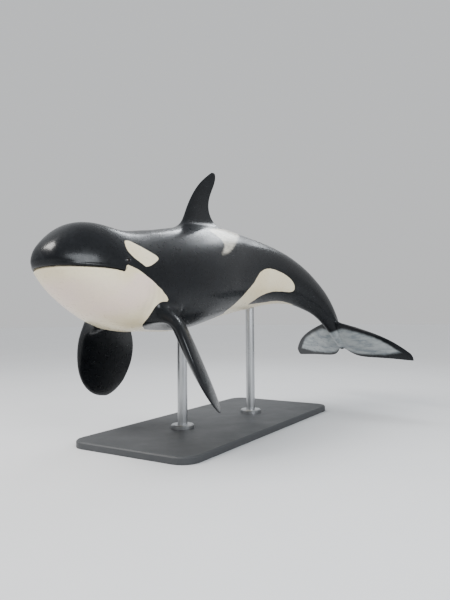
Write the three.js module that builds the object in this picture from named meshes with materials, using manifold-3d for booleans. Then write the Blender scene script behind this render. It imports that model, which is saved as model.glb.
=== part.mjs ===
// Orca (female type), life size, still model in a turning swim, on a plain display stand.
// Millimetres, +Z up. The animal faces -Y; its left side is +X.
//
// The body is one closed cage of four-sided faces, made from stations along the
// spine and from loops along each fin, smoothed once, then posed along a bent
// spine. Thin curved cuts part it where a person names the parts.
// Straight-body coordinates: s along the spine from the snout (0) to the fluke
// notch (1), y to the left, z up, all in body lengths.
import * as THREE from "three";
import { mergeVertices } from "three/addons/utils/BufferGeometryUtils.js";
import Module from "manifold-3d";

// ---------------------------------------------------------------- sizes
const LENGTH = 5500;          // snout to fluke notch, along the spine
const CUT = 0.3;              // width of the thin cuts between named parts
const FLATNESS = 1.28;         // flatter folds than this between faces are left out
const EYE_RADIUS = 31;        // eyeball
const EYE_AT = { s: 0.107, z: 0.009, sunk: 24.5 };   // centre of the ball, under the skin

const DORSAL = { front: 0.382, rear: 0.518, height: 0.132, lean: 0.101, top: 0.024 };
const FLIPPER = { s: 0.2143, y: 0.086, z: -0.058, length: 0.1964, chord: 0.1425, root: 0.075, lean: -0.005, widest: 0.545, fall: 2.35 };
const FLUKE = { half: 0.212, root: 0.007, sweep: 0.0586, rake: 0.0378, trail: 0.9959, bulge: 0.0239, bow: 0.61, tip: 0.198 };

// the pose, degrees: bends of the spine over a range of s
const BENDS = [
  // kind, from, to, angle   (pitch turns the tail down, yaw turns it to the left, roll turns it about the spine)
  ["pitch", 0.06, 0.30, -16.2],
  ["pitch", 0.36, 0.66, 4.5],
  ["pitch", 0.60, 0.84, 34.0],
  ["pitch", 0.80, 0.93, 26.6],
  ["yaw", 0.06, 0.30, 3.0],
  ["yaw", 0.36, 0.66, 22.1],
  ["yaw", 0.60, 0.88, 1.6],
  ["roll", 0.45, 0.92, 2.4],
  ["roll", 0.80, 0.94, -2.6],
];
const S_REF = 0.33;           // the spine is level here before the body is tilted
const FLIPPER_L = { droop: 76.3, sweep: 15.2, twist: -33.0, curl: 0 };
const FLIPPER_R = { droop: 66.0, sweep: 30.0, twist: 0.7, curl: 0 };
const FLUKE_L = { dihedral: 4.0, curl: 0 };
const FLUKE_R = { dihedral: 4.3, curl: 0 };
const BANK = { pitch: 5.0, roll: -3.3 };       // of the whole animal on its stand

// stand
const BASE = { length: 3400, width: 1500, thick: 70, corner: 180, bevel: 12 };
const ROD_RADIUS = 55, COLLAR_RADIUS = 130, COLLAR_HEIGHT = 45;
const ROD_FRONT_S = 0.37, ROD_REAR_S = 0.60;
const CLEARANCE = 330;        // lowest fin over the base

// body section along s: top, bottom, half width, height of the widest line,
// fullness of the section above and below that line (2 = ellipse)
const STATIONS = [
  [0.000, 0.0040, -0.0140, 0.0100, -0.006, 2.0, 2.0],
  [0.015, 0.0325, -0.0250, 0.0370, -0.006, 2.3, 2.2],
  [0.040, 0.0600, -0.0415, 0.0570, -0.006, 2.3, 2.2],
  [0.085, 0.0768, -0.0640, 0.0740, -0.006, 2.2, 2.2],
  [0.130, 0.0800, -0.0830, 0.0830, -0.004, 2.1, 2.2],
  [0.180, 0.0840, -0.0980, 0.0895, -0.002, 2.1, 2.2],
  [0.240, 0.0918, -0.1005, 0.0955, 0.000, 2.1, 2.2],
  [0.320, 0.0985, -0.1060, 0.0990, 0.000, 2.1, 2.2],
  [0.400, 0.1075, -0.0985, 0.0970, 0.000, 2.0, 2.2],
  [0.500, 0.1078, -0.0885, 0.0860, 0.000, 2.0, 2.1],
  [0.600, 0.0892, -0.0765, 0.0665, 0.002, 1.9, 2.0],
  [0.700, 0.0640, -0.0608, 0.0450, 0.002, 1.8, 1.9],
  [0.800, 0.0465, -0.0430, 0.0285, 0.002, 1.7, 1.8],
  [0.880, 0.0320, -0.0280, 0.0185, 0.001, 1.6, 1.7],
  [0.920, 0.0235, -0.0195, 0.0185, 0.001, 1.6, 1.7],
  [0.960, 0.0125, -0.0095, 0.0140, 0.001, 1.8, 1.8],
  [0.980, 0.0070, -0.0050, 0.0085, 0.001, 2.0, 2.0],
];
// rings of the cage
const RINGS = [0.016, 0.042, 0.072, 0.104, 0.136, 0.160, 0.182, 0.199, 0.216, 0.234, 0.254, 0.298,
  0.340, 0.376, 0.412, 0.448, 0.484, 0.520, 0.570, 0.625, 0.685, 0.750, 0.815, 0.868,
  0.905, 0.926, 0.947, 0.968, 0.988];
const AROUND = 20;
const HALF_COLUMNS = [0, 9, 29, 51, 76, 90, 104, 121, 139, 159, 180];   // degrees from the top
const GROW = 1.012;           // the smoothed surface lies inside its cage by this

// ---------------------------------------------------------------- small maths
const RAD = Math.PI / 180;
const add = (a, b) => [a[0] + b[0], a[1] + b[1], a[2] + b[2]];
const sub = (a, b) => [a[0] - b[0], a[1] - b[1], a[2] - b[2]];
const mul = (a, k) => [a[0] * k, a[1] * k, a[2] * k];
const dot = (a, b) => a[0] * b[0] + a[1] * b[1] + a[2] * b[2];
const cross = (a, b) => [a[1] * b[2] - a[2] * b[1], a[2] * b[0] - a[0] * b[2], a[0] * b[1] - a[1] * b[0]];
const unit = (a) => mul(a, 1 / Math.hypot(...a));
const smooth = (a, b, x) => { const t = Math.min(Math.max((x - a) / (b - a), 0), 1); return t * t * (3 - 2 * t); };

function hermite(xs, ys, x) {
  const n = xs.length;
  x = Math.min(Math.max(x, xs[0]), xs[n - 1]);
  let k = 0;
  while (k < n - 2 && x > xs[k + 1]) k++;
  const slope = (i) => {
    if (i === 0) return (ys[1] - ys[0]) / (xs[1] - xs[0]);
    if (i === n - 1) return (ys[n - 1] - ys[n - 2]) / (xs[n - 1] - xs[n - 2]);
    const h0 = xs[i] - xs[i - 1], h1 = xs[i + 1] - xs[i];
    return ((ys[i] - ys[i - 1]) / h0 * h1 + (ys[i + 1] - ys[i]) / h1 * h0) / (h0 + h1);
  };
  const h = xs[k + 1] - xs[k], t = (x - xs[k]) / h, m0 = slope(k) * h, m1 = slope(k + 1) * h;
  return (2 * t ** 3 - 3 * t ** 2 + 1) * ys[k] + (t ** 3 - 2 * t ** 2 + t) * m0
    + (-2 * t ** 3 + 3 * t ** 2) * ys[k + 1] + (t ** 3 - t ** 2) * m1;
}
const STATION_S = STATIONS.map((r) => r[0]);
const section = (s) => [1, 2, 3, 4, 5, 6].map((k) => hermite(STATION_S, STATIONS.map((r) => r[k]), s));
const bump = (x, c, w) => Math.exp(-(((x - c) / w) ** 2));

// column angles at s, squeezed round the flipper roots and the dorsal fin
function columns(s) {
  const f = bump(s, 0.216, 0.07);
  return HALF_COLUMNS.map((p, j) => {
    if (j === 7) return p + f * (119 - p);
    if (j === 8) return p + f * (130 - p);
    if (j === 9) return p + f * (142 - p);
    if (j === 1) return p + (1 - bump(s, 0.45, 0.12)) * (12 - p);
    return p;
  });
}

// point of the body surface, phi degrees from the top, positive to the left
function bodyPoint(s, phi, grow = 1) {
  const [T, B, W, zc, nu, nl] = section(s);
  const a = (90 - Math.abs(phi)) * RAD, n = a >= 0 ? nu : nl;
  const c = Math.abs(Math.cos(a)), d = Math.abs(Math.sin(a));
  const y = W * c ** (2 / n) * grow;
  const z = zc + (a >= 0 ? (T - zc) : -(zc - B)) * d ** (2 / n) * grow;
  return [s, phi >= 0 ? y : -y, z];
}

// ---------------------------------------------------------------- cage
const V = [], F = [];
const vertex = (p) => V.push([...p]) - 1;
const quad = (a, b, c, d) => F.push([a, b, c, d]);

// closes a ring with a grid of na by nb faces; shape() moves each inner point
function ringCap(ring, shape, flip, na, nb, first) {
  const n = ring.length, R = ring.map((_, k) => ring[(first + k) % n]);
  const left = [], bottom = [], right = [], top = [];
  for (let k = 0; k <= nb; k++) left.push(R[k]);
  for (let k = 0; k <= na; k++) bottom.push(R[nb + k]);
  for (let k = 0; k <= nb; k++) right.push(R[(nb + na + nb - k) % n]);
  for (let k = 0; k <= na; k++) top.push(R[(2 * nb + na + na - k) % n]);
  const grid = Array.from({ length: nb + 1 }, () => new Array(na + 1));
  for (let r = 0; r <= nb; r++) { grid[r][0] = left[r]; grid[r][na] = right[r]; }
  for (let c = 0; c <= na; c++) { grid[0][c] = top[c]; grid[nb][c] = bottom[c]; }
  for (let r = 1; r < nb; r++) for (let c = 1; c < na; c++) {
    const u = c / na, w = r / nb;
    let p = [0, 0, 0];
    const mix = (i, k) => { p = add(p, mul(V[i], k)); };
    mix(left[r], 1 - u); mix(right[r], u); mix(top[c], 1 - w); mix(bottom[c], w);
    mix(top[0], -(1 - u) * (1 - w)); mix(top[na], -u * (1 - w));
    mix(bottom[0], -(1 - u) * w); mix(bottom[na], -u * w);
    grid[r][c] = vertex(shape(p));
  }
  for (let r = 0; r < nb; r++) for (let c = 0; c < na; c++) {
    const q = [grid[r][c], grid[r + 1][c], grid[r + 1][c + 1], grid[r][c + 1]];
    quad(...(flip ? q : q.reverse()));
  }
}

// half thickness of a fin section along its chord, 0..1
const foil = (c) => 5 * (0.2969 * Math.sqrt(Math.max(c, 0)) - 0.1260 * c - 0.3516 * c ** 2 + 0.2843 * c ** 3 - 0.1036 * c ** 4);
const CHORD_STEPS = { 3: [0.07, 0.33, 0.64, 0.92], 4: [0.06, 0.24, 0.47, 0.72, 0.94], 5: [0.05, 0.19, 0.37, 0.56, 0.76, 0.94] };

const TIP_ROUND = 0.22;

// grows a fin from a hole in the body: rows of body vertices on its two sides
// (front to back), the vertices before and behind it, and loops of
// [leading point, trailing point, thickness, normal]
function fin(sideA, sideB, lead, trail, loops, flip) {
  const a = sideA.length - 1, steps = CHORD_STEPS[a];
  const q = flip ? (w, x, y, z) => quad(z, y, x, w) : quad;
  let A = sideA, B = sideB, l = lead, t = trail;
  for (const [P, Q, thick, n] of loops) {
    const A2 = [], B2 = [];
    for (const c of steps) {
      const m = add(P, mul(sub(Q, P), c)), h = mul(n, thick * foil(c));
      A2.push(vertex(add(m, h)));
      B2.push(vertex(sub(m, h)));
    }
    const l2 = vertex(P), t2 = vertex(Q);
    for (let k = 0; k < a; k++) {
      q(A[k], A[k + 1], A2[k + 1], A2[k]);
      q(B[k + 1], B[k], B2[k], B2[k + 1]);
    }
    q(l, A[0], A2[0], l2); q(B[0], l, l2, B2[0]);
    q(A[a], t, t2, A2[a]); q(t, B[a], B2[a], t2);
    A = A2; B = B2; l = l2; t = t2;
  }
  const [P, Q, thick] = loops[loops.length - 1], [P0, Q0] = loops[loops.length - 2];
  const out = unit(sub(add(P, Q), add(P0, Q0)));
  const M = [];
  const chord = Math.hypot(...sub(Q, P));
  for (let k = 0; k <= a; k++) {
    const round = thick * 0.35 + chord * TIP_ROUND * (1 - (2 * steps[k] - 1) ** 2);
    M.push(vertex(add(mul(add(V[A[k]], V[B[k]]), 0.5), mul(out, round))));
  }
  for (let k = 0; k < a; k++) { q(A[k], A[k + 1], M[k + 1], M[k]); q(M[k], M[k + 1], B[k + 1], B[k]); }
  q(l, A[0], M[0], B[0]); q(t, B[a], M[a], A[a]);
}

// dorsal fin: leading edge leans back, trailing edge is hollow
function dorsalLoops() {
  const { front: s0, rear: s1, height, lean, top } = DORSAL;
  const zf = section(s0)[0], zr = section(s1)[0], z0 = (zf + zr) / 2;
  return [0.08, 0.28, 0.52, 0.75, 0.90, 0.975].map((t) => {
    const h = t * height;
    let le = s0 + 0.012 * t ** 0.5 + lean * (0.55 * t + 0.45 * t ** 2.2);
    let te = s1 - 0.035 * Math.sin(Math.PI * Math.min(t / 0.85, 1) ** 0.8)
      + (s0 + 0.012 + lean + top - s1) * t ** 1.5;
    const k = Math.sqrt(Math.max(1 - (Math.max(t - 0.66, 0) / 0.345) ** 2, 0)), m = le + (te - le) * 0.72;
    le = m + (le - m) * k; te = m + (te - m) * k;
    const thick = (0.115 * (1 - t) ** 0.8 + 0.05) * (te - le);
    return [[le, 0, z0 + (zf - z0) * (1 - t) + h], [te, 0, z0 + (zr - z0) * (1 - t) + h * 0.985], thick, [0, 1, 0]];
  });
}

// edges of the paddle-shaped flipper at span fraction t
function flipperShape(t) {
  const { root, chord, widest, fall } = FLIPPER;
  let w = root + (chord - root) * Math.sin(Math.PI / 2 * Math.min(t / widest, 1));
  if (t > widest) w *= Math.sqrt(Math.max(1 - ((t - widest) / (1.015 - widest)) ** fall, 0));
  const m = -0.004 + FLIPPER.lean * t ** 2;
  return [m - w * 0.46, m + w * 0.54];
}
function flipperLoops(side, pose) {
  const droop = pose.droop * RAD, sweep = pose.sweep * RAD, twist = pose.twist * RAD;
  const O = [FLIPPER.s, side * FLIPPER.y, FLIPPER.z];
  const d = unit([Math.sin(sweep), side * Math.cos(sweep) * Math.cos(droop), -Math.cos(sweep) * Math.sin(droop)]);
  const c0 = unit(sub([1, 0, 0], mul(d, d[0])));
  const n0 = mul(cross(d, c0), -side);
  const c = add(mul(c0, Math.cos(twist)), mul(n0, Math.sin(twist)));
  const n = mul(cross(d, c), -side);
  return [0.10, 0.27, 0.48, 0.69, 0.87, 0.97].map((t) => {
    const [le, te] = flipperShape(t);
    const m = add(add(O, mul(d, t * FLIPPER.length)), mul(n, pose.curl * t * t));
    return [add(m, mul(c, le)), add(m, mul(c, te)), (0.19 * (1 - t) ** 1.2 + 0.075) * (te - le), n];
  });
}
function flukeLoops(side, pose) {
  const dh = pose.dihedral * RAD;
  return [0.12, 0.30, 0.54, 0.78, 0.95].map((t) => {
    const y = (FLUKE.half - FLUKE.root) * t;
    let le = 0.902 + 0.018 * t ** 0.7 + FLUKE.sweep * t ** 1.3 + 0.026 * t ** 4;
    let te = FLUKE.trail + FLUKE.bulge * Math.sin(Math.PI * t ** FLUKE.bow) * (1 - t) + FLUKE.rake * t ** 1.4;
    if (t > 0.8) {
      const k = Math.sqrt(Math.max(1 - ((t - 0.8) / FLUKE.tip) ** 2, 0)), m = le + (te - le) * 0.75;
      le = m + (le - m) * k; te = m + (te - m) * k;
    }
    const yy = side * (FLUKE.root + y * Math.cos(dh)), z = 0.001 + y * Math.sin(dh) + pose.curl * t * t;
    return [[le, yy, z], [te, yy, z], (0.155 * (1 - t) ** 0.7 + 0.055) * (te - le), unit([0, -Math.sin(dh) * side, Math.cos(dh)])];
  });
}

function buildCage() {
  const rings = RINGS.map((s) => {
    const cols = columns(s), ids = [];
    for (let j = 0; j < AROUND; j++) {
      const phi = j <= AROUND / 2 ? cols[j] : -cols[AROUND - j];
      const [, , , zc] = section(s), p = bodyPoint(s, phi, GROW);
      ids.push(vertex(p));
    }
    return ids;
  });
  const near = (s) => RINGS.reduce((best, r, i) => (Math.abs(r - s) < Math.abs(RINGS[best] - s) ? i : best), 0);
  const spans = {
    dorsal: [near(0.376), near(0.520)], flipper: [near(0.182), near(0.254)], fluke: [near(0.905), near(0.988)],
  };
  const holes = new Set();
  const cutOut = ([i0, i1], cols) => { for (let i = i0; i < i1; i++) for (const j of cols) holes.add(i + ":" + j); };
  cutOut(spans.dorsal, [0, AROUND - 1]);
  cutOut(spans.flipper, [7, 8, AROUND - 8, AROUND - 9]);
  cutOut(spans.fluke, [4, 5, AROUND - 5, AROUND - 6]);
  for (let i = 0; i < RINGS.length - 1; i++) for (let j = 0; j < AROUND; j++) {
    if (holes.has(i + ":" + j)) continue;
    const k = (j + 1) % AROUND;
    quad(rings[i][j], rings[i + 1][j], rings[i + 1][k], rings[i][k]);
  }
  // snout and tail end
  const [T, B, W, zc] = section(RINGS[0]);
  ringCap(rings[0], ([, y, z]) => {
    const rho = Math.min(1, Math.hypot(y / (W * GROW), (z - zc) / ((z > zc ? T - zc : zc - B) * GROW)));
    return [RINGS[0] - 0.0175 * Math.sqrt(Math.max(1 - rho ** 2.2, 0)), y, z];
  }, true, 6, 4, 3);
  const end = RINGS.length - 1, We = section(RINGS[end])[2];
  ringCap(rings[end], ([, y, z]) => [RINGS[end] + 0.003 * Math.max(0, 1 - (y / We) ** 2), y, z], false, 6, 4, 3);
  // fins
  const row = ([i0, i1], j) => rings.slice(i0, i1 + 1).map((r) => r[j]);
  const grow = (span, up, mid, low, loops, flip) =>
    fin(row(span, up), row(span, low), rings[span[0]][mid], rings[span[1]][mid], loops, flip);
  grow(spans.dorsal, 1, 0, AROUND - 1, dorsalLoops(), true);
  grow(spans.flipper, 7, 8, 9, flipperLoops(1, FLIPPER_L), false);
  grow(spans.flipper, AROUND - 7, AROUND - 8, AROUND - 9, flipperLoops(-1, FLIPPER_R), true);
  grow(spans.fluke, 4, 5, 6, flukeLoops(1, FLUKE_L), false);
  grow(spans.fluke, AROUND - 4, AROUND - 5, AROUND - 6, flukeLoops(-1, FLUKE_R), true);
}

// one step of Catmull-Clark smoothing on four-sided faces
function catmullClark(verts, faces) {
  const nv = verts.length, edges = new Map(), eList = [];
  const key = (a, b) => (a < b ? a * 1e6 + b : b * 1e6 + a);
  const fp = faces.map((f) => mul(f.reduce((p, i) => add(p, verts[i]), [0, 0, 0]), 0.25));
  const fe = faces.map((f, fi) => f.map((a, k) => {
    const b = f[(k + 1) % 4], id = key(a, b);
    if (!edges.has(id)) { edges.set(id, eList.length); eList.push({ a, b, sum: [0, 0, 0], n: 0 }); }
    const e = eList[edges.get(id)];
    e.sum = add(e.sum, fp[fi]); e.n++;
    return edges.get(id);
  }));
  const facSum = verts.map(() => [0, 0, 0]), facN = verts.map(() => 0), midSum = verts.map(() => [0, 0, 0]), midN = verts.map(() => 0);
  faces.forEach((f, fi) => f.forEach((i) => { facSum[i] = add(facSum[i], fp[fi]); facN[i]++; }));
  eList.forEach((e) => {
    const m = mul(add(verts[e.a], verts[e.b]), 0.5);
    for (const i of [e.a, e.b]) { midSum[i] = add(midSum[i], m); midN[i]++; }
  });
  const out = verts.map((p, i) => {
    const n = midN[i];
    return mul(add(add(mul(facSum[i], 1 / facN[i]), mul(midSum[i], 2 / n)), mul(p, n - 3)), 1 / n);
  });
  eList.forEach((e) => out.push(mul(add(add(verts[e.a], verts[e.b]), e.sum), 1 / (2 + e.n))));
  const nf = nv + eList.length;
  fp.forEach((p) => out.push(p));
  const newFaces = [];
  faces.forEach((f, fi) => f.forEach((a, k) => newFaces.push([a, nv + fe[fi][k], nf + fi, nv + fe[fi][(k + 3) % 4]])));
  return [out, newFaces];
}
// moves every vertex to where endless smoothing would take it
function toLimit(verts, faces) {
  const E = verts.map(() => [0, 0, 0]), Q = verts.map(() => [0, 0, 0]), N = verts.map(() => 0), seen = new Set();
  for (const f of faces) f.forEach((a, k) => {
    const b = f[(k + 1) % 4], id = a < b ? a * 1e6 + b : b * 1e6 + a;
    Q[a] = add(Q[a], verts[f[(k + 2) % 4]]);
    if (!seen.has(id)) { seen.add(id); E[a] = add(E[a], verts[b]); E[b] = add(E[b], verts[a]); N[a]++; N[b]++; }
  });
  return verts.map((p, i) => { const n = N[i]; return mul(add(add(mul(p, n * n), mul(E[i], 4)), Q[i]), 1 / (n * (n + 5))); });
}

// ---------------------------------------------------------------- pose
const SPINE = (() => {
  const steps = 400, from = -0.05, to = 1.10, h = (to - from) / steps, rows = [];
  for (let i = 0; i <= steps; i++) {
    const s = from + i * h, ang = { pitch: 0, yaw: 0, roll: 0 };
    for (const [kind, a, b, deg] of BENDS) ang[kind] += deg * RAD * (smooth(a, b, s) - smooth(a, b, S_REF));
    const T = [Math.sin(ang.yaw) * Math.cos(ang.pitch), Math.cos(ang.yaw) * Math.cos(ang.pitch), -Math.sin(ang.pitch)];
    const Lv = [Math.cos(ang.yaw), -Math.sin(ang.yaw), 0], U = cross(Lv, T);
    const c = Math.cos(ang.roll), r = Math.sin(ang.roll);
    rows.push({ T, L: add(mul(Lv, c), mul(U, r)), U: sub(mul(U, c), mul(Lv, r)), C: [0, 0, 0] });
    if (i) rows[i].C = add(rows[i - 1].C, mul(add(rows[i].T, rows[i - 1].T), h / 2));
  }
  const at = (k, s) => {
    const x = Math.min(Math.max((s - from) / h, 0), steps - 1e-9), i = Math.floor(x), t = x - i;
    return add(mul(rows[i][k], 1 - t), mul(rows[i + 1][k], t));
  };
  const C0 = at("C", S_REF);
  rows.forEach((r) => { r.C = sub(r.C, C0); });
  return at;
})();
const tilt = (() => {
  const a = BANK.pitch * RAD, b = BANK.roll * RAD;
  return ([x, y, z]) => {
    const y1 = y * Math.cos(a) - z * Math.sin(a), z1 = y * Math.sin(a) + z * Math.cos(a);
    return [x * Math.cos(b) + z1 * Math.sin(b), y1, -x * Math.sin(b) + z1 * Math.cos(b)];
  };
})();
let SHIFT = [0, 0, 0];
function posed(p) {
  const C = SPINE("C", p[0]), Lv = SPINE("L", p[0]), U = SPINE("U", p[0]);
  return add(tilt(mul(add(add(C, mul(Lv, p[1])), mul(U, p[2])), LENGTH)), SHIFT);
}

// ---------------------------------------------------------------- solids
const wasm = await Module();
wasm.setup();
const toManifold = (verts, tris) => {
  const volume = tris.reduce((sum, [a, b, c]) => sum + dot(verts[a], cross(verts[b], verts[c])), 0);
  const faces = volume < 0 ? tris.map(([a, b, c]) => [a, c, b]) : tris;
  return new wasm.Manifold(new wasm.Mesh({
    numProp: 3, vertProperties: new Float32Array(verts.flat()), triVerts: new Uint32Array(faces.flat()),
  }));
};
const split = (faces) => faces.flatMap(([a, b, c, d]) => [[a, b, c], [a, c, d]]);

// a thin sheet over a grid of points (u by v), given thickness along each point's normal
function sheet(nu, nv, pointAt, thick) {
  const P = [];
  for (let i = 0; i <= nu; i++) for (let j = 0; j <= nv; j++) P.push(pointAt(i / nu, j / nv));
  const id = (i, j) => i * (nv + 1) + j;
  const normal = (i, j) => {
    const a = P[id(Math.min(i + 1, nu), j)], b = P[id(Math.max(i - 1, 0), j)];
    const c = P[id(i, Math.min(j + 1, nv))], d = P[id(i, Math.max(j - 1, 0))];
    return unit(cross(sub(a, b), sub(c, d)));
  };
  const verts = [], n = P.length;
  for (const k of [0.5, -0.5]) for (let i = 0; i <= nu; i++) for (let j = 0; j <= nv; j++)
    verts.push(add(P[id(i, j)], mul(normal(i, j), k * thick)));
  const tris = [];
  const q = (a, b, c, d) => tris.push([a, b, c], [a, c, d]);
  for (let i = 0; i < nu; i++) for (let j = 0; j < nv; j++) {
    q(id(i, j), id(i + 1, j), id(i + 1, j + 1), id(i, j + 1));
    q(n + id(i, j), n + id(i, j + 1), n + id(i + 1, j + 1), n + id(i + 1, j));
  }
  for (let i = 0; i < nu; i++) {
    q(id(i, 0), n + id(i, 0), n + id(i + 1, 0), id(i + 1, 0));
    q(id(i, nv), id(i + 1, nv), n + id(i + 1, nv), n + id(i, nv));
  }
  for (let j = 0; j < nv; j++) {
    q(id(0, j), id(0, j + 1), n + id(0, j + 1), n + id(0, j));
    q(id(nu, j), n + id(nu, j), n + id(nu, j + 1), id(nu, j + 1));
  }
  return toManifold(verts, tris);
}

function sphere(centre, radius, rings = 8, around = 10) {
  const verts = [[centre[0], centre[1], centre[2] + radius]], tris = [];
  for (let i = 1; i < rings; i++) for (let j = 0; j < around; j++) {
    const a = Math.PI * i / rings, b = 2 * Math.PI * j / around;
    verts.push(add(centre, [radius * Math.sin(a) * Math.cos(b), radius * Math.sin(a) * Math.sin(b), radius * Math.cos(a)]));
  }
  verts.push([centre[0], centre[1], centre[2] - radius]);
  const at = (i, j) => 1 + (i - 1) * around + (j % around), last = verts.length - 1;
  for (let j = 0; j < around; j++) {
    tris.push([0, at(1, j), at(1, j + 1)], [last, at(rings - 1, j + 1), at(rings - 1, j)]);
    for (let i = 1; i < rings - 1; i++) tris.push([at(i, j), at(i + 1, j), at(i + 1, j + 1)], [at(i, j), at(i + 1, j + 1), at(i, j + 1)]);
  }
  return toManifold(verts, tris);
}

// upright solid of revolution from [radius, height] pairs, bottom to top
function turned(x, y, profile, around = 20) {
  const verts = [], tris = [], m = profile.length;
  profile.forEach(([r, z]) => {
    for (let j = 0; j < around; j++) {
      const a = 2 * Math.PI * j / around;
      verts.push([x + r * Math.cos(a), y + r * Math.sin(a), z]);
    }
  });
  const b = verts.push([x, y, profile[0][1]]) - 1, t = verts.push([x, y, profile[m - 1][1]]) - 1;
  for (let j = 0; j < around; j++) {
    const k = (j + 1) % around;
    for (let i = 0; i < m - 1; i++) {
      const p = i * around;
      tris.push([p + j, p + k, p + around + k], [p + j, p + around + k, p + around + j]);
    }
    tris.push([b, k, j], [t, (m - 1) * around + j, (m - 1) * around + k]);
  }
  return toManifold(verts, tris);
}

// flat slab with round corners and a small bevel along its top edge
function slab(x, y, length, width, thick, corner, bevel) {
  const loop = (inset) => {
    const pts = [], r = corner - inset, steps = 6;
    for (const [sx, sy, a0] of [[1, 1, 0], [-1, 1, 90], [-1, -1, 180], [1, -1, 270]])
      for (let k = 0; k <= steps; k++) {
        const a = (a0 + 90 * k / steps) * RAD;
        pts.push([x + sx * (width / 2 - corner) + r * Math.cos(a), y + sy * (length / 2 - corner) + r * Math.sin(a)]);
      }
    return pts;
  };
  const levels = [[0, 0], [0, thick - bevel], [bevel, thick]], verts = [], tris = [];
  for (const [inset, z] of levels) for (const p of loop(inset)) verts.push([...p, z]);
  const n = verts.length / levels.length;
  const b = verts.push([x, y, 0]) - 1, t = verts.push([x, y, thick]) - 1;
  for (let j = 0; j < n; j++) {
    const k = (j + 1) % n;
    for (let i = 0; i < levels.length - 1; i++) tris.push([i * n + j, i * n + k, (i + 1) * n + k], [i * n + j, (i + 1) * n + k, (i + 1) * n + j]);
    tris.push([b, k, j], [t, (levels.length - 1) * n + j, (levels.length - 1) * n + k]);
  }
  return toManifold(verts, tris);
}

// ---------------------------------------------------------------- build
buildCage();
const used = [...new Set(F.flat())].sort((a, b) => a - b), renumber = new Map(used.map((v, i) => [v, i]));
const [v1, f1] = catmullClark(used.map((i) => V[i]), F.map((f) => f.map((i) => renumber.get(i))));
const straight = toLimit(v1, f1);

// stand the animal over the middle of the base
const loose = straight.map(posed);
const range = (k) => [Math.min(...loose.map((p) => p[k])), Math.max(...loose.map((p) => p[k]))];
const [zLow] = range(2);
const rodTop = (s) => posed([s, 0, 0]);
SHIFT = [0, 0, BASE.thick + CLEARANCE - zLow];
{
  const a = rodTop(ROD_FRONT_S), b = rodTop(ROD_REAR_S);
  SHIFT[0] = -(a[0] + b[0]) / 2;
  SHIFT[1] = -(a[1] + b[1]) / 2;
}
const body = toManifold(straight.map(posed), split(f1)).simplify(FLATNESS);

// surfaces of the cuts, in straight-body coordinates
const outward = (s, phi, lift) => {
  const p = bodyPoint(s, phi), a = bodyPoint(s + 0.002, phi), b = bodyPoint(s, phi + 1);
  const n = unit(cross(sub(a, p), sub(b, p)));
  return add(p, mul(n, lift));
};
const patch = (s0, s1, phi0, phi1, lift) => sheet(7, 6, (u, v) => posed(outward(s0 + (s1 - s0) * u, phi0 + (phi1 - phi0) * v, lift)), CUT);
const crossCut = (s) => sheet(1, 1, (u, v) => posed([s, 0.30 * (u - 0.5), 0.34 * (v - 0.5)]), CUT);
// the line of the mouth in side view, and down behind the jaw
const MOUTH = [[-0.03, -0.0205], [0.004, -0.0205], [0.016, -0.0195], [0.044, -0.0155], [0.066, -0.0120], [0.087, -0.0097],
  [0.101, -0.0095], [0.113, -0.0200], [0.124, -0.0480], [0.131, -0.0850], [0.136, -0.1300]];
const mouthCut = sheet(MOUTH.length - 1, 1, (u, v) => {
  const [s, z] = MOUTH[Math.round(u * (MOUTH.length - 1))];
  return posed([s, 0.26 * (v - 0.5), z]);
}, CUT);
const sideCut = (y) => sheet(4, 1, (u, v) => posed([0.885 + 0.15 * u, y, 0.08 * (v - 0.5)]), CUT);

// parts the solid with a sheet; returns its pieces, largest first
const parted = (solid, cutter) => solid.subtract(cutter).decompose()
  .filter((m) => m.volume() > 1000).sort((a, b) => b.volume() - a.volume());

const parts = {};
let rest = body;
const take = (name, cutter) => {
  const [big, ...small] = parted(rest, cutter);
  rest = big;
  parts[name] = small[0];
};
take("dorsal_fin", patch(0.345, 0.548, -24, 24, 0.0035));
take("pectoral_fin_left", patch(0.166, 0.276, 100, 158, 0.0040));
take("pectoral_fin_right", patch(0.276, 0.166, -158, -100, 0.0040));
take("fluke_left", sideCut(0.0235));
take("fluke_right", sideCut(-0.0235));
take("tail_stock", crossCut(0.68));
take("head", crossCut(0.158));
parts.trunk = rest;
[parts.head, parts.lower_jaw] = parted(parts.head, mouthCut);

// eyes: balls set in sockets
for (const [name, side] of [["eye_left", 1], ["eye_right", -1]]) {
  const [T, , W, zc, nu] = section(EYE_AT.s);
  const up = EYE_AT.z >= zc ? (EYE_AT.z - zc) / (T - zc) : 0;
  const y = W * (1 - up ** nu) ** (1 / nu);
  const skin = [EYE_AT.s, side * y, EYE_AT.z];
  const centre = posed(skin), inner = posed([EYE_AT.s + 0.002, side * (y - 0.02), EYE_AT.z]);
  const c = add(centre, mul(unit(sub(inner, centre)), EYE_AT.sunk));
  parts[name] = sphere(c, EYE_RADIUS);
  parts.head = parts.head.subtract(sphere(c, EYE_RADIUS + CUT * 3));
}

// stand
parts.stand_base = slab(0, 0, BASE.length, BASE.width, BASE.thick, BASE.corner, BASE.bevel);
const under = body.translate([0, 0, -CUT]);
for (const [end, s] of [["front", ROD_FRONT_S], ["rear", ROD_REAR_S]]) {
  const [x, y, z] = rodTop(s), foot = BASE.thick + CUT, top = foot + COLLAR_HEIGHT;
  parts[`stand_collar_${end}`] = turned(x, y, [[COLLAR_RADIUS, foot], [COLLAR_RADIUS, top - 10], [COLLAR_RADIUS - 10, top]]);
  const rod = turned(x, y, [[ROD_RADIUS, top + CUT], [ROD_RADIUS, z]]);
  parts[`stand_rod_${end}`] = rod.subtract(under).decompose().sort((a, b) => b.volume() - a.volume())[0];
}

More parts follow.
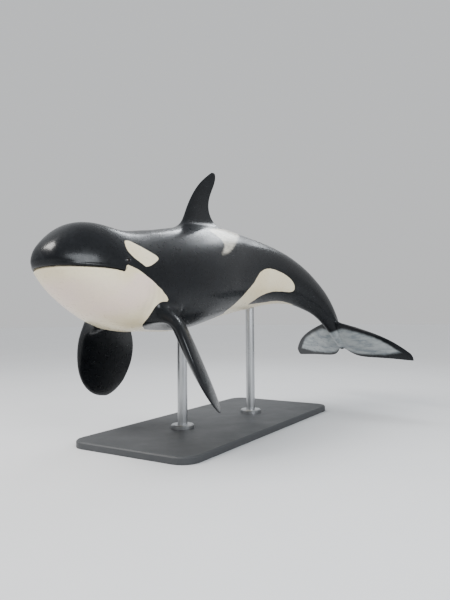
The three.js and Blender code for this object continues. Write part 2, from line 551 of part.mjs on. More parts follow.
// the origin is the middle of the whole, on the floor
const boxes = Object.values(parts).map((m) => m.boundingBox());
const middle = (k) => (Math.min(...boxes.map((b) => b.min[k])) + Math.max(...boxes.map((b) => b.max[k]))) / 2;
const centring = [-middle(0), -middle(1), 0];
for (const name of Object.keys(parts)) parts[name] = parts[name].translate(centring);

// ---------------------------------------------------------------- named meshes
const SKIN = { color: 0x101318, roughness: 0.32, metalness: 0 };
const STEEL = { color: 0xa9adb2, roughness: 0.3, metalness: 1 };
const LOOKS = {
  eye_left: { color: 0x120c0a, roughness: 0.08, metalness: 0 }, eye_right: { color: 0x120c0a, roughness: 0.08, metalness: 0 },
  stand_base: { color: 0x3b3d40, roughness: 0.55, metalness: 0 },
  stand_rod_front: STEEL, stand_rod_rear: STEEL, stand_collar_front: STEEL, stand_collar_rear: STEEL,
};
const ORDER = ["head", "lower_jaw", "eye_left", "eye_right", "trunk", "tail_stock", "dorsal_fin",
  "pectoral_fin_left", "pectoral_fin_right", "fluke_left", "fluke_right", "stand_base", "stand_collar_front", "stand_collar_rear",
  "stand_rod_front", "stand_rod_rear"];
const group = new THREE.Group();
group.name = "orca";
for (const name of ORDER) {
  const m = parts[name].getMesh();
  let g = new THREE.BufferGeometry();
  const step = m.numProp, pos = new Float32Array(m.vertProperties.length / step * 3);
  for (let i = 0; i < pos.length / 3; i++) for (let k = 0; k < 3; k++) pos[3 * i + k] = m.vertProperties[i * step + k];
  g.setAttribute("position", new THREE.BufferAttribute(pos, 3));
  g.setIndex(new THREE.BufferAttribute(new Uint32Array(m.triVerts), 1));
  g = mergeVertices(g, 1e-4);
  g.computeVertexNormals();
  const mesh = new THREE.Mesh(g, new THREE.MeshStandardMaterial(LOOKS[name] ?? SKIN));
  mesh.name = name;
  group.add(mesh);
}
export default group;
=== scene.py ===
"""Orca, still model on a stand: skin, eyes, stand, stage, lights and camera. Metres, +Z up, the animal faces -Y."""
import math

import bmesh
import bpy
import numpy as np
from mathutils import Matrix, Vector


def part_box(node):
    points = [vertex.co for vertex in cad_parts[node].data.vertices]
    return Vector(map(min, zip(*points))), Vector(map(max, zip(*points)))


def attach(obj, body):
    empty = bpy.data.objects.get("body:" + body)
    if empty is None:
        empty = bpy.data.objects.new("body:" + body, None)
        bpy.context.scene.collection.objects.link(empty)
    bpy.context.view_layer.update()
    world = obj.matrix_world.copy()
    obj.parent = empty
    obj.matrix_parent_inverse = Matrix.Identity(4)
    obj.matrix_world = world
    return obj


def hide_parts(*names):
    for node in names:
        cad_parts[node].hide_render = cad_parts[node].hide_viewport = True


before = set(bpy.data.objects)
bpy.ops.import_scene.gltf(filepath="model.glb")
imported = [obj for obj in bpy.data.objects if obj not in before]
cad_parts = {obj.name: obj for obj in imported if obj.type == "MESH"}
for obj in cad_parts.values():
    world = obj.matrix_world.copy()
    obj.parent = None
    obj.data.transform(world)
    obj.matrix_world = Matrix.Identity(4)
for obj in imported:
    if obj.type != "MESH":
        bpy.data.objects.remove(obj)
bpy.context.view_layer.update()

# ------------------------------------------------------------------ sizes
# straight-body coordinates: s along the spine from the snout (0) to the fluke notch (1), y left, z up, in body lengths
LENGTH = 5.5
EYE_RADIUS = 0.031
EYE_AT = dict(s=0.107, z=0.009, sunk=0.0245)
LID = dict(long=0.0215, high=0.0135, thick=0.0028)      # half the opening between the lids
DORSAL = dict(front=0.382, rear=0.518, height=0.132, lean=0.101, top=0.024)
FLIPPER = dict(s=0.2143, y=0.086, z=-0.058, length=0.1964, chord=0.1425, root=0.075, lean=-0.005, widest=0.545, fall=2.35)
FLUKE = dict(half=0.212, root=0.007, sweep=0.0586, rake=0.0378, trail=0.9959, bulge=0.0239, bow=0.61, tip=0.198)
BENDS = [
    ("pitch", 0.06, 0.30, -16.2),
    ("pitch", 0.36, 0.66, 4.5),
    ("pitch", 0.60, 0.84, 34.0),
    ("pitch", 0.80, 0.93, 26.6),
    ("yaw", 0.06, 0.30, 3.0),
    ("yaw", 0.36, 0.66, 22.1),
    ("yaw", 0.60, 0.88, 1.6),
    ("roll", 0.45, 0.92, 2.4),
    ("roll", 0.80, 0.94, -2.6),
]
S_REF = 0.33
FLIPPER_L = dict(droop=76.3, sweep=15.2, twist=-33.0)
FLIPPER_R = dict(droop=66.0, sweep=30.0, twist=0.7)
FLUKE_L, FLUKE_R = 4.0, 4.3          # rise of each lobe, degrees
BANK = dict(pitch=5.0, roll=-3.3)

STATIONS = [
    (0.000, 0.0040, -0.0140, 0.0100, -0.006, 2.0, 2.0),
    (0.015, 0.0325, -0.0250, 0.0370, -0.006, 2.3, 2.2),
    (0.040, 0.0600, -0.0415, 0.0570, -0.006, 2.3, 2.2),
    (0.085, 0.0768, -0.0640, 0.0740, -0.006, 2.2, 2.2),
    (0.130, 0.0800, -0.0830, 0.0830, -0.004, 2.1, 2.2),
    (0.180, 0.0840, -0.0980, 0.0895, -0.002, 2.1, 2.2),
    (0.240, 0.0918, -0.1005, 0.0955, 0.000, 2.1, 2.2),
    (0.320, 0.0985, -0.1060, 0.0990, 0.000, 2.1, 2.2),
    (0.400, 0.1075, -0.0985, 0.0970, 0.000, 2.0, 2.2),
    (0.500, 0.1078, -0.0885, 0.0860, 0.000, 2.0, 2.1),
    (0.600, 0.0892, -0.0765, 0.0665, 0.002, 1.9, 2.0),
    (0.700, 0.0640, -0.0608, 0.0450, 0.002, 1.8, 1.9),
    (0.800, 0.0465, -0.0430, 0.0285, 0.002, 1.7, 1.8),
    (0.880, 0.0320, -0.0280, 0.0185, 0.001, 1.6, 1.7),
    (0.920, 0.0235, -0.0195, 0.0185, 0.001, 1.6, 1.7),
    (0.960, 0.0125, -0.0095, 0.0140, 0.001, 1.8, 1.8),
    (0.980, 0.0070, -0.0050, 0.0085, 0.001, 2.0, 2.0),
]
RINGS = [0.016, 0.042, 0.072, 0.104, 0.136, 0.160, 0.182, 0.199, 0.216, 0.234, 0.254, 0.298,
         0.340, 0.376, 0.412, 0.448, 0.484, 0.520, 0.570, 0.625, 0.685, 0.750, 0.815, 0.868,
         0.905, 0.926, 0.947, 0.968, 0.988]
AROUND = 20
HALF_COLUMNS = [0, 9, 29, 51, 76, 90, 104, 121, 139, 159, 180]
GROW = 1.012
TIP_ROUND = 0.22
# the line of the closed mouth in side view, from before the snout to its corner
MOUTH = [(-0.030, -0.0205), (0.004, -0.0205), (0.016, -0.0195), (0.044, -0.0155), (0.066, -0.0120), (0.087, -0.0097), (0.101, -0.0095)]
BLOWHOLE = dict(s=0.136, radius=0.040)


# ------------------------------------------------------------------ small maths
def hermite(xs, ys, x):
    n = len(xs)
    x = min(max(x, xs[0]), xs[-1])
    k = 0
    while k < n - 2 and x > xs[k + 1]:
        k += 1

    def slope(i):
        if i == 0:
            return (ys[1] - ys[0]) / (xs[1] - xs[0])
        if i == n - 1:
            return (ys[-1] - ys[-2]) / (xs[-1] - xs[-2])
        h0, h1 = xs[i] - xs[i - 1], xs[i + 1] - xs[i]
        return ((ys[i] - ys[i - 1]) / h0 * h1 + (ys[i + 1] - ys[i]) / h1 * h0) / (h0 + h1)
    h = xs[k + 1] - xs[k]
    t = (x - xs[k]) / h
    m0, m1 = slope(k) * h, slope(k + 1) * h
    return ((2 * t**3 - 3 * t**2 + 1) * ys[k] + (t**3 - 2 * t**2 + t) * m0
            + (-2 * t**3 + 3 * t**2) * ys[k + 1] + (t**3 - t**2) * m1)


STATION_COLUMNS = list(zip(*STATIONS))


def section(s):
    return [hermite(STATION_COLUMNS[0], STATION_COLUMNS[k], s) for k in range(1, 7)]


def smooth(a, b, x):
    t = np.clip((np.asarray(x, float) - a) / (b - a), 0, 1)
    return t * t * (3 - 2 * t)


def bell(x, centre, width):
    return np.exp(-(((x - centre) / width) ** 2))


def unit(v):
    v = np.asarray(v, float)
    return v / np.linalg.norm(v, axis=-1, keepdims=v.ndim > 1)


def columns(s):
    f = float(bell(s, 0.216, 0.07))
    squeezed = {7: 119, 8: 130, 9: 142}
    out = []
    for j, p in enumerate(HALF_COLUMNS):
        if j in squeezed:
            p += f * (squeezed[j] - p)
        elif j == 1:
            p += (1 - float(bell(s, 0.45, 0.12))) * (12 - p)
        out.append(p)
    return out


def body_point(s, phi, grow=1.0):
    T, B, W, zc, nu, nl = section(s)
    a = math.radians(90 - abs(phi))
    n = nu if a >= 0 else nl
    c, d = abs(math.cos(a)), abs(math.sin(a))
    y = W * c ** (2 / n) * grow
    z = zc + ((T - zc) if a >= 0 else -(zc - B)) * d ** (2 / n) * grow
    return (s, y if phi >= 0 else -y, z)


# ------------------------------------------------------------------ the cage
# each vertex carries: position, then fin reach t (0 on the body), place along the chord c, upper side +1 or lower -1,
# and how far it belongs to a dorsal fin, a flipper or a fluke
CAGE_V, CAGE_F = [], []


def vertex(p, data=(0, 0.5, 0, 0, 0, 0)):
    CAGE_V.append(tuple(p) + tuple(data))
    return len(CAGE_V) - 1


def ring_cap(ring, shape, flip, na, nb, first):
    n = len(ring)
    R = [ring[(first + k) % n] for k in range(n)]
    left = [R[k] for k in range(nb + 1)]
    bottom = [R[nb + k] for k in range(na + 1)]
    right = [R[(nb + na + nb - k) % n] for k in range(nb + 1)]
    top = [R[(2 * nb + na + na - k) % n] for k in range(na + 1)]
    grid = [[None] * (na + 1) for _ in range(nb + 1)]
    for r in range(nb + 1):
        grid[r][0], grid[r][na] = left[r], right[r]
    for c in range(na + 1):
        grid[0][c], grid[nb][c] = top[c], bottom[c]
    P = lambda i: np.array(CAGE_V[i][:3])
    for r in range(1, nb):
        for c in range(1, na):
            u, w = c / na, r / nb
            p = ((1 - u) * P(left[r]) + u * P(right[r]) + (1 - w) * P(top[c]) + w * P(bottom[c])
                 - (1 - u) * (1 - w) * P(top[0]) - u * (1 - w) * P(top[na]) - (1 - u) * w * P(bottom[0]) - u * w * P(bottom[na]))
            grid[r][c] = vertex(shape(p))
    for r in range(nb):
        for c in range(na):
            q = (grid[r][c], grid[r + 1][c], grid[r + 1][c + 1], grid[r][c + 1])
            CAGE_F.append(q if flip else q[::-1])


def foil(c):
    return 5 * (0.2969 * math.sqrt(max(c, 0)) - 0.1260 * c - 0.3516 * c**2 + 0.2843 * c**3 - 0.1036 * c**4)


CHORD_STEPS = [0.06, 0.24, 0.47, 0.72, 0.94]


def fin(side_a, side_b, lead, trail, loops, flip, kind):
    a, steps = len(side_a) - 1, CHORD_STEPS

    def q(w, x, y, z):
        CAGE_F.append((z, y, x, w) if flip else (w, x, y, z))
    A, B, l, t = list(side_a), list(side_b), lead, trail
    for P, Q, thick, n, reach in loops:
        P, Q, n = np.array(P), np.array(Q), np.array(n)
        A2, B2 = [], []
        for c in steps:
            m, h = P + (Q - P) * c, n * thick * foil(c)
            A2.append(vertex(m + h, (reach, c, 1) + kind))
            B2.append(vertex(m - h, (reach, c, -1) + kind))
        l2, t2 = vertex(P, (reach, 0, 0) + kind), vertex(Q, (reach, 1, 0) + kind)
        for k in range(a):
            q(A[k], A[k + 1], A2[k + 1], A2[k])
            q(B[k + 1], B[k], B2[k], B2[k + 1])
        q(l, A[0], A2[0], l2)
        q(B[0], l, l2, B2[0])
        q(A[a], t, t2, A2[a])
        q(t, B[a], B2[a], t2)
        A, B, l, t = A2, B2, l2, t2
    P, Q, thick = np.array(loops[-1][0]), np.array(loops[-1][1]), loops[-1][2]
    P0, Q0 = np.array(loops[-2][0]), np.array(loops[-2][1])
    out, chord, M = unit(P + Q - P0 - Q0), float(np.linalg.norm(Q - P)), []
    for k in range(a + 1):
        c = steps[k]
        m = (np.array(CAGE_V[A[k]][:3]) + np.array(CAGE_V[B[k]][:3])) / 2
        M.append(vertex(m + out * (thick * 0.35 + chord * TIP_ROUND * (1 - (2 * c - 1) ** 2)), (1, c, 0) + kind))
    for k in range(a):
        q(A[k], A[k + 1], M[k + 1], M[k])
        q(M[k], M[k + 1], B[k + 1], B[k])
    q(l, A[0], M[0], B[0])
    q(t, B[a], M[a], A[a])


def dorsal_loops():
    s0, s1 = DORSAL["front"], DORSAL["rear"]
    zf, zr = section(s0)[0], section(s1)[0]
    z0, out = (zf + zr) / 2, []
    for t in (0.08, 0.28, 0.52, 0.75, 0.90, 0.975):
        h = t * DORSAL["height"]
        le = s0 + 0.012 * t**0.5 + DORSAL["lean"] * (0.55 * t + 0.45 * t**2.2)
        te = (s1 - 0.035 * math.sin(math.pi * min(t / 0.85, 1) ** 0.8)
              + (s0 + 0.012 + DORSAL["lean"] + DORSAL["top"] - s1) * t**1.5)
        k = math.sqrt(max(1 - (max(t - 0.66, 0) / 0.345) ** 2, 0))
        m = le + (te - le) * 0.72
        le, te = m + (le - m) * k, m + (te - m) * k
        thick = (0.115 * (1 - t) ** 0.8 + 0.05) * (te - le)
        out.append(((le, 0, z0 + (zf - z0) * (1 - t) + h), (te, 0, z0 + (zr - z0) * (1 - t) + h * 0.985), thick, (0, 1, 0), t))
    return out


def flipper_shape(t):
    root, chord, widest = FLIPPER["root"], FLIPPER["chord"], FLIPPER["widest"]
    w = root + (chord - root) * math.sin(math.pi / 2 * min(t / widest, 1))
    if t > widest:
        w *= math.sqrt(max(1 - ((t - widest) / (1.015 - widest)) ** FLIPPER["fall"], 0))
    m = -0.004 + FLIPPER["lean"] * t**2
    return m - w * 0.46, m + w * 0.54


def flipper_loops(side, pose):
    droop, sweep, twist = (math.radians(pose[k]) for k in ("droop", "sweep", "twist"))
    O = np.array([FLIPPER["s"], side * FLIPPER["y"], FLIPPER["z"]])
    d = unit([math.sin(sweep), side * math.cos(sweep) * math.cos(droop), -math.cos(sweep) * math.sin(droop)])
    c0 = np.array([1.0, 0, 0])
    c0 = unit(c0 - d * (c0 @ d))
    n0 = np.cross(d, c0) * -side
    c = c0 * math.cos(twist) + n0 * math.sin(twist)
    n = np.cross(d, c) * -side
    out = []
    for t in (0.10, 0.27, 0.48, 0.69, 0.87, 0.97):
        le, te = flipper_shape(t)
        m = O + d * t * FLIPPER["length"]
        out.append((m + c * le, m + c * te, (0.19 * (1 - t) ** 1.2 + 0.075) * (te - le), n, t))
    return out


def fluke_edges(t):
    """Leading and trailing edge of a lobe at span fraction t."""
    return (0.902 + 0.018 * t**0.7 + FLUKE["sweep"] * t**1.3 + 0.026 * t**4,
            FLUKE["trail"] + FLUKE["bulge"] * np.sin(math.pi * t**FLUKE["bow"]) * (1 - t) + FLUKE["rake"] * t**1.4)


def fluke_loops(side, rise):
    dh, out = math.radians(rise), []
    for t in (0.12, 0.30, 0.54, 0.78, 0.95):
        y = (FLUKE["half"] - FLUKE["root"]) * t
        le, te = fluke_edges(t)
        if t > 0.8:
            k = math.sqrt(max(1 - ((t - 0.8) / FLUKE["tip"]) ** 2, 0))
            m = le + (te - le) * 0.75
            le, te = m + (le - m) * k, m + (te - m) * k
        yy, z = side * (FLUKE["root"] + y * math.cos(dh)), 0.001 + y * math.sin(dh)
        out.append(((le, yy, z), (te, yy, z), (0.155 * (1 - t) ** 0.7 + 0.055) * (te - le),
                    unit([0, -math.sin(dh) * side, math.cos(dh)]), t))
    return out


def build_cage():
    rings = []
    for s in RINGS:
        cols = columns(s)
        rings.append([vertex(body_point(s, cols[j] if j <= AROUND // 2 else -cols[AROUND - j], GROW)) for j in range(AROUND)])
    near = lambda s: min(range(len(RINGS)), key=lambda i: abs(RINGS[i] - s))
    dorsal, flipper, fluke = (near(0.376), near(0.520)), (near(0.182), near(0.254)), (near(0.905), near(0.988))
    holes = set()
    for (i0, i1), cols in ((dorsal, (0, AROUND - 1)), (flipper, (7, 8, AROUND - 8, AROUND - 9)), (fluke, (4, 5, AROUND - 5, AROUND - 6))):
        holes |= {(i, j) for i in range(i0, i1) for j in cols}
    for i in range(len(RINGS) - 1):
        for j in range(AROUND):
            if (i, j) not in holes:
                k = (j + 1) % AROUND
                CAGE_F.append((rings[i][j], rings[i + 1][j], rings[i + 1][k], rings[i][k]))
    T, B, W, zc = section(RINGS[0])[:4]

    def snout(p):
        rho = min(1, math.hypot(p[1] / (W * GROW), (p[2] - zc) / ((T - zc if p[2] > zc else zc - B) * GROW)))
        return (RINGS[0] - 0.0175 * math.sqrt(max(1 - rho**2.2, 0)), p[1], p[2])
    We = section(RINGS[-1])[2]
    ring_cap(rings[0], snout, True, 6, 4, 3)
    ring_cap(rings[-1], lambda p: (RINGS[-1] + 0.003 * max(0, 1 - (p[1] / We) ** 2), p[1], p[2]), False, 6, 4, 3)

    def grow(span, up, mid, low, loops, flip, kind):
        row = lambda j: [rings[i][j] for i in range(span[0], span[1] + 1)]
        fin(row(up), row(low), rings[span[0]][mid], rings[span[1]][mid], loops, flip, kind)
    grow(dorsal, 1, 0, AROUND - 1, dorsal_loops(), True, (1, 0, 0))
    grow(flipper, 7, 8, 9, flipper_loops(1, FLIPPER_L), False, (0, 1, 0))
    grow(flipper, AROUND - 7, AROUND - 8, AROUND - 9, flipper_loops(-1, FLIPPER_R), True, (0, 1, 0))
    grow(fluke, 4, 5, 6, fluke_loops(1, FLUKE_L), False, (0, 0, 1))
    grow(fluke, AROUND - 4, AROUND - 5, AROUND - 6, fluke_loops(-1, FLUKE_R), True, (0, 0, 1))
    v, f = np.array(CAGE_V, float), np.array(CAGE_F, int)
    used = np.unique(f)
    renumber = -np.ones(len(v), int)
    renumber[used] = np.arange(len(used))
    return v[used], renumber[f]


def edges_of(f):
    e = np.sort(np.stack([f, np.roll(f, -1, 1)], -1).reshape(-1, 2), 1)
    uniq, inv = np.unique(e, axis=0, return_inverse=True)
    return uniq, inv.reshape(-1)


def gather(index, values, n):
    return np.stack([np.bincount(index, values[:, k], n) for k in range(values.shape[1])], 1)


def catmull_clark(v, f):
    nv, nf = len(v), len(f)
    uniq, inv = edges_of(f)
    ne = len(uniq)
    fp = v[f].mean(1)
    count = np.bincount(inv, minlength=ne)[:, None]
    ep = (v[uniq[:, 0]] + v[uniq[:, 1]] + gather(inv, np.repeat(fp, 4, 0), ne)) / (2 + count)
    mid = (v[uniq[:, 0]] + v[uniq[:, 1]]) / 2
    n = np.bincount(uniq.reshape(-1), minlength=nv)[:, None]
    F = gather(f.reshape(-1), np.repeat(fp, 4, 0), nv) / np.bincount(f.reshape(-1), minlength=nv)[:, None]
    R = gather(uniq.reshape(-1), np.repeat(mid, 2, 0), nv) / n
    vp = (F + 2 * R + (n - 3) * v) / n
    ei, fi = nv + inv.reshape(nf, 4), nv + ne + np.arange(nf)
    faces = np.stack([np.stack([f[:, k], ei[:, k], fi, ei[:, (k - 1) % 4]], 1) for k in range(4)], 1).reshape(-1, 4)
    return np.concatenate([vp, ep, fp]), faces


def to_limit(v, f):
    uniq, _ = edges_of(f)
    nv = len(v)
    n = np.bincount(uniq.reshape(-1), minlength=nv)[:, None].astype(float)
    E = gather(np.concatenate([uniq[:, 0], uniq[:, 1]]), np.concatenate([v[uniq[:, 1]], v[uniq[:, 0]]]), nv)
    Q = gather(f.reshape(-1), v[np.roll(f, -2, 1).reshape(-1)], nv)
    return (n * n * v + 4 * E + Q) / (n * (n + 5))


# ------------------------------------------------------------------ the pose
def spine_rows():
    s = np.linspace(-0.05, 1.10, 401)
    ang = dict(pitch=0 * s, yaw=0 * s, roll=0 * s)
    for kind, a, b, deg in BENDS:
        ang[kind] = ang[kind] + math.radians(deg) * (smooth(a, b, s) - smooth(a, b, S_REF))
    T = np.stack([np.sin(ang["yaw"]) * np.cos(ang["pitch"]), np.cos(ang["yaw"]) * np.cos(ang["pitch"]), -np.sin(ang["pitch"])], 1)
    Lv = np.stack([np.cos(ang["yaw"]), -np.sin(ang["yaw"]), 0 * s], 1)
    U = np.cross(Lv, T)
    c, r = np.cos(ang["roll"])[:, None], np.sin(ang["roll"])[:, None]
    C = np.zeros((len(s), 3))
    C[1:] = np.cumsum((T[1:] + T[:-1]) / 2 * (s[1] - s[0]), 0)
    C -= [np.interp(S_REF, s, C[:, k]) for k in range(3)]
    return s, C, Lv * c + U * r, U * c - Lv * r


SPINE = spine_rows()


def tilt(p):
    a, b = math.radians(BANK["pitch"]), math.radians(BANK["roll"])
    x, y, z = np.moveaxis(np.asarray(p, float), -1, 0)
    y1, z1 = y * math.cos(a) - z * math.sin(a), y * math.sin(a) + z * math.cos(a)
    return np.stack([x * math.cos(b) + z1 * math.sin(b), y1, -x * math.sin(b) + z1 * math.cos(b)], -1)


PLACE = np.zeros(3)


def posed(p):
    p = np.atleast_2d(np.asarray(p, float))
    s, C, Lv, U = SPINE
    at = lambda A: np.stack([np.interp(p[:, 0], s, A[:, k]) for k in range(3)], 1)
    return tilt((at(C) + p[:, 1:2] * at(Lv) + p[:, 2:3] * at(U)) * LENGTH) + PLACE


def eye_centre(side):
    T, B, W, zc, nu, nl = section(EYE_AT["s"])
    up = max((EYE_AT["z"] - zc) / (T - zc), 0)
    y = W * (1 - up**nu) ** (1 / nu)
    skin = posed([EYE_AT["s"], side * y, EYE_AT["z"]])[0]
    inner = posed([EYE_AT["s"] + 0.002, side * (y - 0.02), EYE_AT["z"]])[0]
    return skin + unit(inner - skin) * EYE_AT["sunk"]


EYES = {}
for name, side in (("eye_left", 1), ("eye_right", -1)):
    lo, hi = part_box(name)
    EYES[side] = (np.array(lo) + np.array(hi)) / 2
PLACE = EYES[1] - eye_centre(1)


# ------------------------------------------------------------------ markings, as signed distances in metres (inside is negative)
def closed_curve(points, steps=8):
    """A smooth closed line through the named corners."""
    P, n, out = np.array(points, float), len(points), []
    for i in range(n):
        a, b, c, d = P[(i - 1) % n], P[i], P[(i + 1) % n], P[(i + 2) % n]
        for k in range(steps):
            t = k / steps
            out.append(0.5 * (2 * b + (c - a) * t + (2 * a - 5 * b + 4 * c - d) * t * t + (3 * b - a - 3 * c + d) * t**3))
    return np.array(out)


def distance_to_area(x, y, outline):
    """Signed distance from points to a closed outline."""
    best = np.full(len(x), 1e9)
    inside = np.zeros(len(x), bool)
    n = len(outline)
    for i in range(n):
        (ax, ay), (bx, by) = outline[i], outline[(i + 1) % n]
        ex, ey = bx - ax, by - ay
        t = np.clip(((x - ax) * ex + (y - ay) * ey) / max(ex * ex + ey * ey, 1e-18), 0, 1)
        best = np.minimum(best, (x - ax - t * ex) ** 2 + (y - ay - t * ey) ** 2)
        cross = (ay > y) != (by > y)
        if by != ay:
            inside ^= cross & (x < ex * (y - ay) / ey + ax)
    return np.where(inside, -1, 1) * np.sqrt(best)


def distance_to_line(x, y, line):
    """Distance to an open line, positive above it."""
    best, sign = np.full(len(x), 1e9), np.ones(len(x))
    for (ax, ay), (bx, by) in zip(line[:-1], line[1:]):
        ex, ey = bx - ax, by - ay
        t = np.clip(((x - ax) * ex + (y - ay) * ey) / (ex * ex + ey * ey), 0, 1)
        d = (x - ax - t * ex) ** 2 + (y - ay - t * ey) ** 2
        nearer = d < best
        best = np.where(nearer, d, best)
        sign = np.where(nearer, np.where(ex * (y - ay) - ey * (x - ax) >= 0, 1, -1), sign)
    return sign * np.sqrt(best)


EYE_PATCH = closed_curve([(0.1111, 0.0424), (0.1185, 0.0473), (0.1310, 0.0476), (0.1570, 0.0395), (0.1715, 0.0342), (0.1828, 0.0272),
                          (0.1738, 0.0184), (0.1592, 0.0102), (0.1479, 0.0069), (0.1362, 0.0114), (0.1218, 0.0176), (0.1100, 0.0290)])
# the edge between the dark head and the white of jaw and throat, in side view: along the mouth, a small step up at its corner,
# then back and down to the flipper
THROAT = MOUTH[:-1] + [(0.1008, -0.0098), (0.1026, -0.0084), (0.1034, -0.0040), (0.1046, -0.0002), (0.1070, 0.0010), (0.1147, 0.0008),
                       (0.1235, -0.0006), (0.1328, -0.0030), (0.1426, -0.0070), (0.1562, -0.0128), (0.1649, -0.0164), (0.1737, -0.0204),
                       (0.1868, -0.0276), (0.1997, -0.0377), (0.2092, -0.0490), (0.2140, -0.0640), (0.2170, -0.0820), (0.2180, -0.1100)]
THROAT_END = 0.215
# the lobe, the dark around the flipper root (the flipper's own black, carried down before and under the root as painted
# shade) and the saddle are drawn on an unrolled flank: s, and degrees up from the keel (beta) or down from the back
# (phi)
ROLL_OUT = 0.072


def unrolled(pairs, radius):
    return closed_curve([(s, math.radians(angle) * radius) for s, angle in pairs])


FLANK_LOBE = unrolled([(0.440, 34), (0.464, 47.5), (0.488, 58.8), (0.5063, 66.6), (0.5285, 75), (0.547, 85.2), (0.573, 97), (0.600, 102), (0.6226, 102.3),
                       (0.656, 98), (0.686, 89.6), (0.705, 79.5), (0.7155, 67), (0.716, 55), (0.704, 48.6), (0.679, 48.6), (0.634, 51.8), (0.600, 51),
                       (0.573, 45.7), (0.558, 40), (0.530, 32), (0.480, 25)], ROLL_OUT)
FLIPPER_ROOT_DARK_AND_SHADE = unrolled([(0.2140, 67), (0.2075, 61), (0.1934, 58.7), (0.1828, 54), (0.1815, 48), (0.1838, 41), (0.1880, 34), (0.1940, 27), (0.203, 20),
                         (0.218, 15), (0.240, 12), (0.268, 16), (0.284, 40), (0.268, 66), (0.240, 76)], 0.088)
SADDLE = unrolled([(0.505, 8), (0.528, -8), (0.548, 2), (0.552, 13), (0.536, 25), (0.514, 35), (0.492, 44), (0.468, 52), (0.448, 58.5), (0.424, 63.5),
                   (0.404, 66.0), (0.391, 66.5), (0.392, 63.5), (0.402, 61), (0.414, 56.5), (0.4255, 51.0), (0.4285, 45), (0.426, 39), (0.420, 32),
                   (0.424, 24.5), (0.448, 18), (0.476, 13.5)], 0.100)
# edge of the white along the belly, degrees up from the keel, at each s
BELLY = [(0.10, 30), (0.205, 24), (0.225, 16), (0.250, 13), (0.300, 12.5), (0.360, 15), (0.410, 21), (0.440, 27), (0.470, 34),
         (0.500, 37), (0.550, 33), (0.600, 27), (0.660, 21), (0.710, 14), (0.750, 6), (0.775, -3), (0.80, -30), (1.1, -60)]


def markings(p):
    """p: straight-body points. Returns, in metres: distance to the white areas, to the saddle, and to the mouth line (above is positive)."""
    s, y, z = p[:, 0], np.abs(p[:, 1]), p[:, 2]
    zc = -0.003
    phi = np.degrees(np.arctan2(y, z - zc))
    beta = 180 - phi
    radius = np.hypot(y, z - zc)
    mouth = distance_to_line(s, z, MOUTH)
    throat = np.maximum(distance_to_line(s, z, THROAT), s - THROAT_END)
    us, ub = np.array(BELLY).T
    belly = np.radians(beta - np.interp(s, us, ub)) * radius
    lobe = distance_to_area(s, np.radians(beta) * ROLL_OUT, FLANK_LOBE)
    k = 0.006                    # the lobe and the belly flow together
    h = np.clip(0.5 + 0.5 * (lobe - belly) / k, 0, 1)
    belly = lobe * (1 - h) + belly * h - k * h * (1 - h)
    belly = np.maximum(belly, 0.14 - s)
    white = np.minimum(throat, belly)
    # the flipper's own black around its root, with painted shade before and under it, cuts into the white
    root = distance_to_area(s, np.radians(beta) * 0.088, FLIPPER_ROOT_DARK_AND_SHADE)
    white = np.maximum(white, -root)
    patch = np.where(np.abs(s - 0.145) < 0.08, distance_to_area(s, z, EYE_PATCH), 0.1)
    white = np.minimum(white, patch)
    saddle = distance_to_area(s, np.radians(phi) * 0.100, SADDLE)
    return white * LENGTH, saddle * LENGTH, mouth * LENGTH, patch * LENGTH


# ------------------------------------------------------------------ the skin
cage_v, cage_f = build_cage()
v, f = cage_v, cage_f
for _ in range(3):
    v, f = catmull_clark(v, f)
v = to_limit(v, f)

EYE_S, EYE_Z = EYE_AT["s"], EYE_AT["z"]
_T, _B, _W, _zc, _nu, _nl = section(EYE_S)
EYE_Y = _W * (1 - max((EYE_Z - _zc) / (_T - _zc), 0) ** _nu) ** (1 / _nu)
SLITS = [(0.470, 0.475, 0.004), (0.655, 0.690, 0.003), (0.712, 0.719, 0.003)]      # navel, birth slit, vent on the keel line


def eye_distance(p):
    return np.where(np.abs(p[:, 1]) > 0.05, np.hypot(p[:, 0] - EYE_S, p[:, 2] - EYE_Z) * LENGTH, 9)


def detail_distance(p):
    """How far, in metres, each point is from the finest details of the skin."""
    s, y, z = p[:, 0], p[:, 1], p[:, 2]
    eye = eye_distance(p) - 0.050
    mouth = np.abs(distance_to_line(s, z, MOUTH)) * LENGTH
    mouth = np.where((s < 0.112) & (z < 0.02), mouth, 9)
    blow = np.hypot(s - BLOWHOLE["s"], y) * LENGTH - 0.070
    blow = np.where(z > 0.05, blow, 9)
    keel = np.full(len(s), 9.0)
    for a, b, w in SLITS:
        d = np.hypot(np.maximum(np.maximum(a - s, s - b), 0), y) * LENGTH - 0.012
        keel = np.minimum(keel, np.where(z < -0.02, d, 9))
    return np.minimum(np.minimum(eye, mouth), np.minimum(blow, keel))


bm = bmesh.new()
layers = [bm.verts.layers.float.new(n) for n in ("reach", "chord", "upper", "dorsal", "flipper", "fluke")]
for row in v:
    bv = bm.verts.new(row[:3])
    for layer, value in zip(layers, row[3:]):
        bv[layer] = value
bm.verts.ensure_lookup_table()
for q in f.tolist():
    bm.faces.new([bm.verts[i] for i in q])
for how_far, reach in ((detail_distance, 0.030), (detail_distance, 0.016), (detail_distance, 0.007), (eye_distance, 0.034)):
    bm.verts.ensure_lookup_table()
    bm.verts.index_update()
    near = how_far(np.array([w.co[:] for w in bm.verts])) < reach
    chosen = {e for face in bm.faces if any(near[w.index] for w in face.verts) for e in face.edges}
    bmesh.ops.subdivide_edges(bm, edges=list(chosen), cuts=1, use_grid_fill=True)
bm.verts.ensure_lookup_table()
bm.verts.index_update()
bm.normal_update()
rest = np.array([w.co[:] for w in bm.verts])
normal = np.array([w.normal[:] for w in bm.verts])
reach, chord, upper, is_dorsal, is_flipper, is_fluke = (np.array([w[layer] for w in bm.verts]) for layer in layers)
polygons = [[w.index for w in face.verts] for face in bm.faces]
bm.free()

s, y, z = rest.T
white, saddle, mouth, patch = markings(rest)
on_body = 1 - np.clip(is_dorsal + is_flipper + is_fluke, 0, 1)

